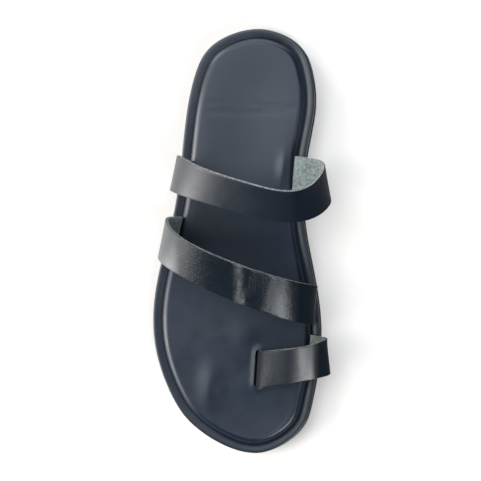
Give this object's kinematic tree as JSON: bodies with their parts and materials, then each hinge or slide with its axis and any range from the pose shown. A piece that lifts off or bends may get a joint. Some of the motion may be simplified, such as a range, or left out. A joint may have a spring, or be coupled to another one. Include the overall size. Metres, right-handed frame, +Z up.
{
  "type": "strap slipper",
  "caption": "Flat right-foot slipper with a padded insole, a broad instep band, a diagonal band over the ball of the foot and a loop for the big toe.",
  "frame": {"origin": "on the floor under the middle of the slipper's bounding box", "axes": "+Z up, +Y from toe to heel along the sole, +X towards the inner side of the foot"},
  "size_m": [0.1174, 0.2772, 0.0881],
  "materials": {
    "rubber": "matt black sheet rubber",
    "rim_leather": "smooth black leather, satin, rounded over the rim",
    "insole_leather": "smooth blue-black leather, satin, lightly creased",
    "smooth_leather": "smooth black leather, satin, with raw cut edges and a grey suede inside",
    "grained_leather": "pebble-grained black leather, glossy, with raw cut edges and a grey suede inside"
  },
  "bodies": {
    "root": {"outsole": "rubber", "midsole": "rim_leather", "insole": "insole_leather", "instep_strap": "smooth_leather", "vamp_strap": "grained_leather", "toe_loop": "smooth_leather"}
  },
  "joints": []
}
